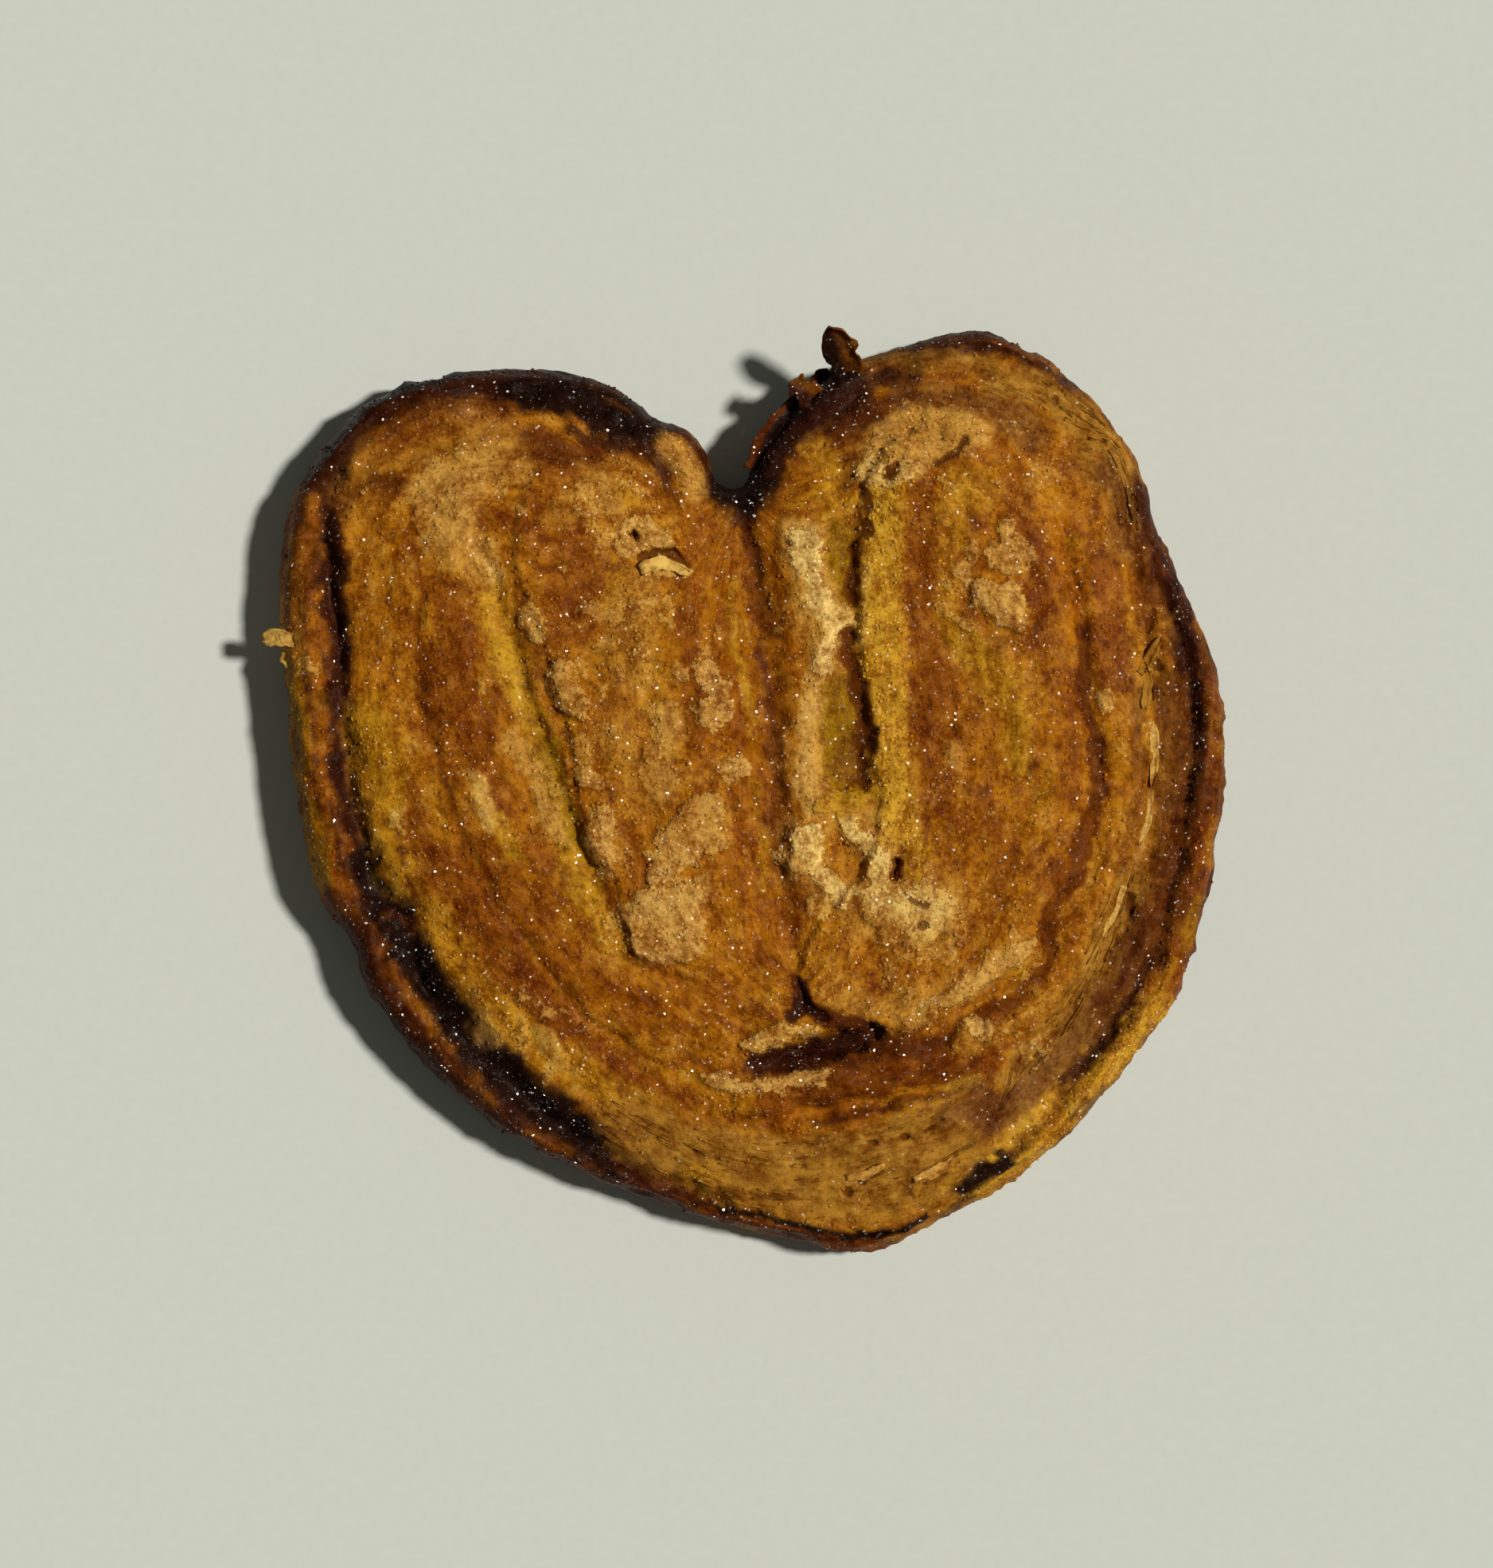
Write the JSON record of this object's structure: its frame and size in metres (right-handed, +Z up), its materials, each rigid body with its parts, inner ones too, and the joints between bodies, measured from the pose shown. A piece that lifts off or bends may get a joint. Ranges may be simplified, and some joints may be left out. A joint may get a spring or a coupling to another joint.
{
  "type": "palmier pastry",
  "caption": "Heart-shaped slice of rolled puff pastry with a rounded caramelised rim, coiled flaky turns on top, an open notch and a flat underside.",
  "frame": {"origin": "middle of the bounding box, on the surface that the pastry rests on", "axes": "+Z up through the slice, +Y from the heart's tip towards its notch, +X across the two lobes"},
  "size_m": [0.1109, 0.1061, 0.0146],
  "materials": {
    "crust": "baked puff pastry, amber, sugared and partly caramelised"
  },
  "bodies": {
    "root": {"palmier": "crust"}
  },
  "joints": []
}
